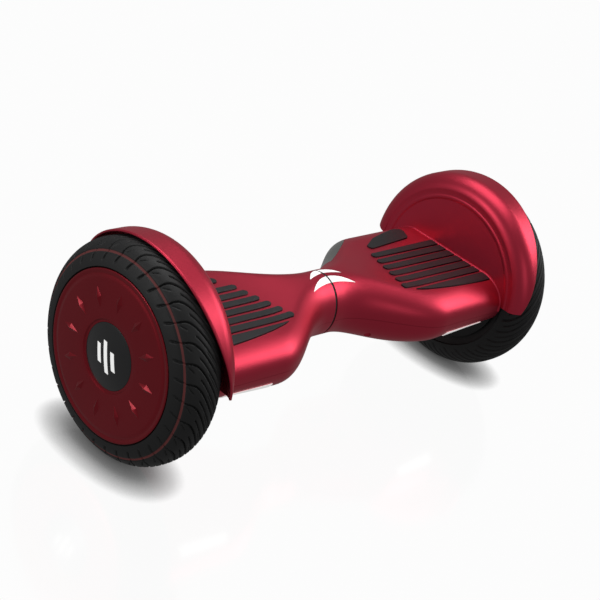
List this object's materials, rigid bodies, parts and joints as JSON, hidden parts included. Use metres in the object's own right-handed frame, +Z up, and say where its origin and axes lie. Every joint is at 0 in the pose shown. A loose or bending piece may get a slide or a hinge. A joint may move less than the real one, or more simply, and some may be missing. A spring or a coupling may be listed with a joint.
{
  "type": "self balancing hoverboard",
  "caption": "Two-wheeled self balancing board: two mirrored red halves that twist at the waist, arched fenders, ribbed foot pads and hub-motor wheels with pneumatic tyres.",
  "frame": {"origin": "on the ground under the middle of the waist, with the tyres standing on z = 0", "axes": "+X along the axles, +Y to the front with the headlights, +Z up"},
  "size_m": [0.6442, 0.2578, 0.26],
  "materials": {
    "shell_red": "satin metallic red paint",
    "cap_red": "satin dark red paint",
    "rubber_black": "matte",
    "tyre_black": "matte",
    "pad_grey": "matte, fine grain",
    "badge_black": "gloss",
    "smoke_lens": "smoked, clear",
    "light_white": "translucent white",
    "cast_aluminium": "as cast",
    "motor_black": "black paint, satin",
    "steel": "machined",
    "board_green": "solder mask",
    "copper": "enamelled wire",
    "bronze": "sintered",
    "pack_blue": "shrink wrap over cells",
    "button_black": "matte"
  },
  "bodies": {
    "left_half": {"left_upper_shell": "shell_red", "left_lower_shell": "shell_red", "left_frame": "cast_aluminium", "left_axle_clamp": "cast_aluminium", "left_clamp_bolts": "steel", "left_sensor_board": "board_green", "left_headlight_lens": "smoke_lens", "left_indicator_windows": "light_white", "left_light_board": "board_green", "left_edge_strip": "light_white", "left_shell_screws": "steel", "left_axle": "steel", "left_stator": "steel", "left_windings": "copper", "pivot_tube": "steel", "pivot_retainer": "steel", "stop_pin": "steel", "centre_seal": "rubber_black", "battery_pack": "pack_blue", "battery_strap": "rubber_black"},
    "right_half": {"right_upper_shell": "shell_red", "right_lower_shell": "shell_red", "right_frame": "cast_aluminium", "right_axle_clamp": "cast_aluminium", "right_clamp_bolts": "steel", "right_sensor_board": "board_green", "right_headlight_lens": "smoke_lens", "right_indicator_windows": "light_white", "right_light_board": "board_green", "right_edge_strip": "light_white", "right_shell_screws": "steel", "right_axle": "steel", "right_stator": "steel", "right_windings": "copper", "pivot_bushes": "bronze", "main_board": "board_green", "button_housing": "steel", "charge_port": "steel"},
    "left_wheel": {"left_rim": "motor_black", "left_magnet_ring": "steel", "left_motor_cover": "motor_black", "left_cover_screws": "steel", "left_wheel_bearings": "steel", "left_tyre": "tyre_black", "left_hub_cap": "cap_red", "left_hub_badge": "badge_black"},
    "right_wheel": {"right_rim": "motor_black", "right_magnet_ring": "steel", "right_motor_cover": "motor_black", "right_cover_screws": "steel", "right_wheel_bearings": "steel", "right_tyre": "tyre_black", "right_hub_cap": "cap_red", "right_hub_badge": "badge_black"},
    "left_pad": {"left_foot_pad": "pad_grey"},
    "right_pad": {"right_foot_pad": "pad_grey"},
    "power_button": {"power_button": "button_black"},
    "charge_port_cap": {"charge_port_cap": "rubber_black"}
  },
  "joints": [
    {"name": "waist_twist", "type": "hinge", "parent": "left_half", "child": "right_half", "pos_m": [0, 0, 0.131], "axis": [1, 0, 0], "range_deg": [-12, 12]},
    {"name": "left_wheel_spin", "type": "hinge", "parent": "left_half", "child": "left_wheel", "pos_m": [-0.2864, 0, 0.127], "axis": [1, 0, 0], "continuous": true},
    {"name": "right_wheel_spin", "type": "hinge", "parent": "right_half", "child": "right_wheel", "pos_m": [0.2864, 0, 0.127], "axis": [1, 0, 0], "continuous": true},
    {"name": "left_pad_press", "type": "slide", "parent": "left_half", "child": "left_pad", "axis": [0, 0, -1], "range_m": [0, 0.0015], "stiffness_N_per_m": 20000, "springref_m": -0.0005},
    {"name": "right_pad_press", "type": "slide", "parent": "right_half", "child": "right_pad", "axis": [0, 0, -1], "range_m": [0, 0.0015], "stiffness_N_per_m": 20000, "springref_m": -0.0005},
    {"name": "power_button_press", "type": "slide", "parent": "right_half", "child": "power_button", "axis": [0, 0, 1], "range_m": [0, 0.001], "stiffness_N_per_m": 1500, "springref_m": -0.001},
    {"name": "charge_port_cap_hinge", "type": "hinge", "parent": "right_half", "child": "charge_port_cap", "pos_m": [0.091, 0.022, 0.07577], "axis": [0, 1, 0], "range_deg": [0, 110]}
  ]
}
